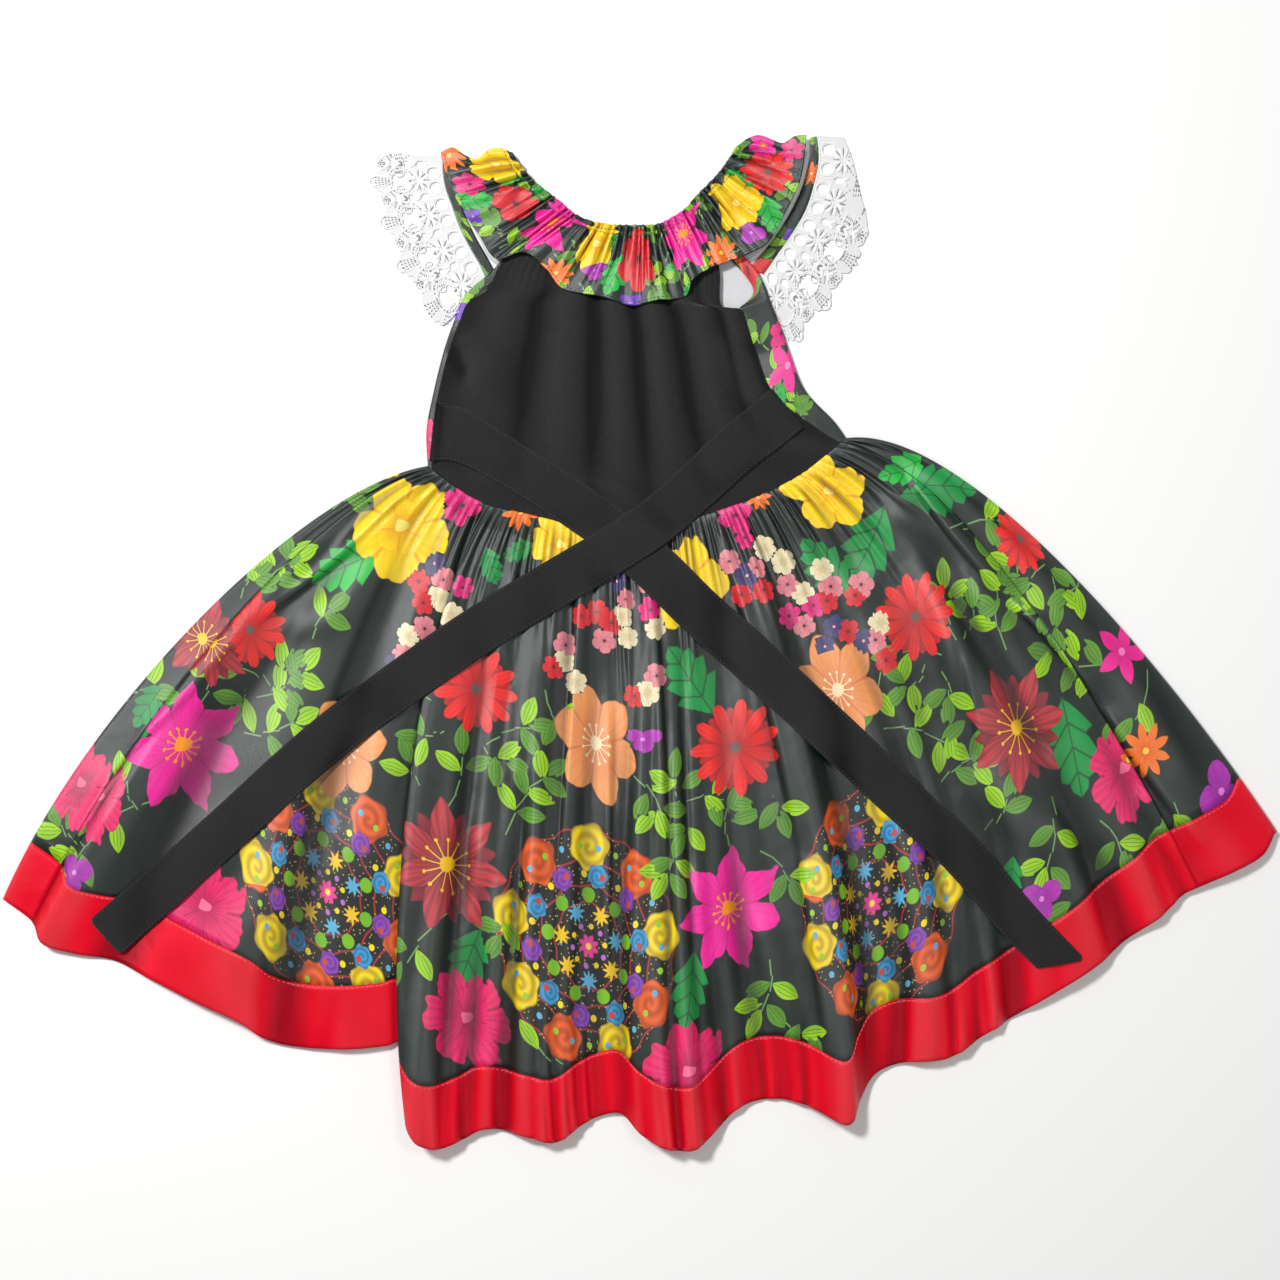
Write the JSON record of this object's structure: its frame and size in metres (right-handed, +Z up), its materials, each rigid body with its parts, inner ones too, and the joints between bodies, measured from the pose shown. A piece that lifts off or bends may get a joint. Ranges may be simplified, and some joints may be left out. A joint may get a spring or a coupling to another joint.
{
  "type": "folklorico dress",
  "caption": "Child's folklorico dress laid flat, back up: gathered flower-print skirt with a satin ribbon hem, black back bodice, ruffled neck, lace at the armholes and waist ties.",
  "frame": {"origin": "on the table under the middle of the laid dress's outline", "axes": "+Z up from the table; +Y from the hem to the neck; +X to the right of the laid dress, seen from above"},
  "size_m": [0.868, 0.6898, 0.018],
  "materials": {
    "printed_satin": "printed satin, flowers and leaves on dark green",
    "red_satin": "glossy satin ribbon",
    "black_crepe": "matt crepe",
    "white_lace": "matt guipure lace"
  },
  "bodies": {
    "root": {"skirt_back": "printed_satin", "skirt_front": "printed_satin", "hem_ribbon_back": "red_satin", "hem_ribbon_front": "red_satin", "bodice_back": "black_crepe", "bodice_front": "printed_satin", "neck_ruffle_back": "printed_satin", "neck_ruffle_front": "printed_satin", "armhole_band_left": "printed_satin", "armhole_band_right": "printed_satin", "lace_left": "white_lace", "lace_right": "white_lace", "tie_left": "black_crepe", "tie_right": "black_crepe"}
  },
  "joints": []
}
